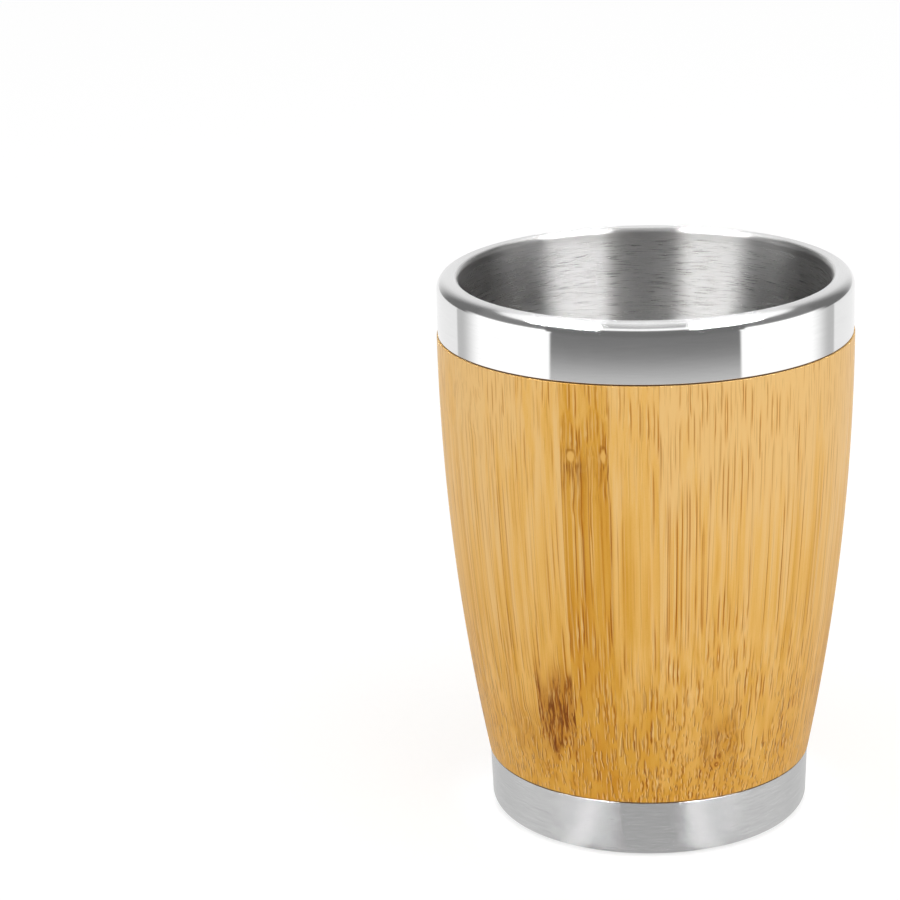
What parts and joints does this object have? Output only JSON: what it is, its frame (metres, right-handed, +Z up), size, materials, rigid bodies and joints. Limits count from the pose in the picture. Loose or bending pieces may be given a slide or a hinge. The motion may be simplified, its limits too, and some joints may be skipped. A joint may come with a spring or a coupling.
{
  "type": "bamboo cup",
  "caption": "Handleless tumbler: a tapered steel inner cup in a barrel-shaped bamboo shell, with a polished steel collar and a brushed steel base.",
  "frame": {"origin": "centre of the foot ring, on the surface that the cup stands on", "axes": "+Z up along the cup's axis, -Y towards the picture's camera, +X to its right"},
  "size_m": [0.0854, 0.0854, 0.115],
  "materials": {
    "bamboo": "carbonised bamboo strips edge-glued and turned, with a clear satin lacquer",
    "collar_steel": "polished stainless steel",
    "inner_steel": "stainless steel, brushed round the cup",
    "base_steel": "satin stainless steel, brushed round the base",
    "liner_plastic": "natural polypropylene, as moulded",
    "silicone": "translucent white silicone",
    "foam": "closed-cell foam",
    "adhesive": "brown adhesive, cured"
  },
  "bodies": {
    "root": {"rim_collar": "collar_steel", "inner_cup": "inner_steel", "mouth_seal": "silicone", "insulating_liner": "liner_plastic", "floor_pad": "foam", "collar_bead": "adhesive", "base_bead": "adhesive", "base_cover": "base_steel", "bamboo_stave_01": "bamboo", "bamboo_stave_02": "bamboo", "bamboo_stave_03": "bamboo", "bamboo_stave_04": "bamboo", "bamboo_stave_05": "bamboo", "bamboo_stave_06": "bamboo", "bamboo_stave_07": "bamboo", "bamboo_stave_08": "bamboo", "bamboo_stave_09": "bamboo", "bamboo_stave_10": "bamboo", "bamboo_stave_11": "bamboo", "bamboo_stave_12": "bamboo", "bamboo_stave_13": "bamboo", "bamboo_stave_14": "bamboo", "bamboo_stave_15": "bamboo", "bamboo_stave_16": "bamboo", "bamboo_stave_17": "bamboo", "bamboo_stave_18": "bamboo", "bamboo_stave_19": "bamboo", "bamboo_stave_20": "bamboo", "bamboo_stave_21": "bamboo", "bamboo_stave_22": "bamboo", "bamboo_stave_23": "bamboo", "bamboo_stave_24": "bamboo", "bamboo_stave_25": "bamboo", "bamboo_stave_26": "bamboo", "bamboo_stave_27": "bamboo"}
  },
  "joints": []
}
